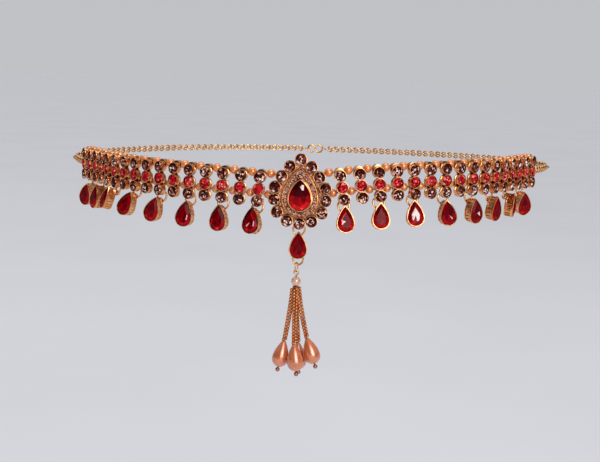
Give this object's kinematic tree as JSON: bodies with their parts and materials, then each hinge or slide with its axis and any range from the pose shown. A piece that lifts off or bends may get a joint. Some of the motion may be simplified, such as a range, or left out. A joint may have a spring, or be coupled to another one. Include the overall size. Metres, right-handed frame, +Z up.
{
  "type": "waist belt",
  "caption": "Jewelled waist belt of gold cups strung with pearls, a pear-shaped medallion, hanging pear drops, a beaded tassel and a chain that closes it behind.",
  "frame": {"origin": "middle of the waist opening, level with the middle row of stones under the medallion's centre", "axes": "+Z up, -Y out of the front through the medallion, +X to the right as seen from the front"},
  "size_m": [0.2736, 0.236, 0.1067],
  "materials": {
    "castings": "polished gold plating",
    "settings": "polished gold plating",
    "wire": "polished gold plating",
    "chain": "polished gold plating",
    "rose_stones": "faceted, foiled behind",
    "red_stones": "faceted, foiled behind",
    "drop_stones": "faceted pear, foiled behind",
    "centre_stone": "faceted pear, foiled behind",
    "pearls": "pearly",
    "head_pearl": "pearly",
    "teardrop_pearls": "pearly",
    "bead_strands": "metallic glass beads",
    "tip_beads": "metallic glass beads",
    "thread": "twisted silk"
  },
  "bodies": {
    "belt": {"pendant_frame": "castings", "pendant_stone": "centre_stone", "pendant_rim_stones": "rose_stones", "links_left": "castings", "links_right": "castings", "top_stones_left": "rose_stones", "middle_stones_left": "red_stones", "bottom_stones_left": "rose_stones", "top_stones_right": "rose_stones", "middle_stones_right": "red_stones", "bottom_stones_right": "rose_stones", "upper_pearls_left": "pearls", "lower_pearls_left": "pearls", "upper_pearls_right": "pearls", "lower_pearls_right": "pearls", "upper_thread": "thread", "lower_thread": "thread", "drop_setting_left_1": "settings", "drop_setting_left_2": "settings", "drop_setting_left_3": "settings", "drop_setting_left_4": "settings", "drop_setting_left_5": "settings", "drop_setting_left_6": "settings", "drop_setting_left_7": "settings", "drop_setting_left_8": "settings", "drop_setting_right_1": "settings", "drop_setting_right_2": "settings", "drop_setting_right_3": "settings", "drop_setting_right_4": "settings", "drop_setting_right_5": "settings", "drop_setting_right_6": "settings", "drop_setting_right_7": "settings", "drop_setting_right_8": "settings", "drop_stones_left": "drop_stones", "drop_stones_right": "drop_stones", "drop_rings_left": "wire", "drop_rings_right": "wire", "end_rings_left": "chain", "end_rings_right": "chain", "back_chain_left": "chain", "back_chain_right": "chain", "hook": "chain"},
    "drop": {"centre_drop_ring": "wire", "centre_drop_setting": "settings", "centre_drop_stone": "drop_stones", "tassel_ring": "wire", "tassel_link": "wire", "tassel_pin": "wire", "head_pearl": "head_pearl", "tassel_strands": "bead_strands", "teardrop_pearl_1": "teardrop_pearls", "teardrop_pearl_2": "teardrop_pearls", "teardrop_pearl_3": "teardrop_pearls", "teardrop_pearl_4": "teardrop_pearls", "tip_beads": "tip_beads"}
  },
  "joints": [
    {"name": "drop_swing", "type": "hinge", "parent": "belt", "child": "drop", "pos_m": [0, -0.11275, -0.01415], "axis": [1, 0, 0], "range_deg": [-20, 40]}
  ]
}
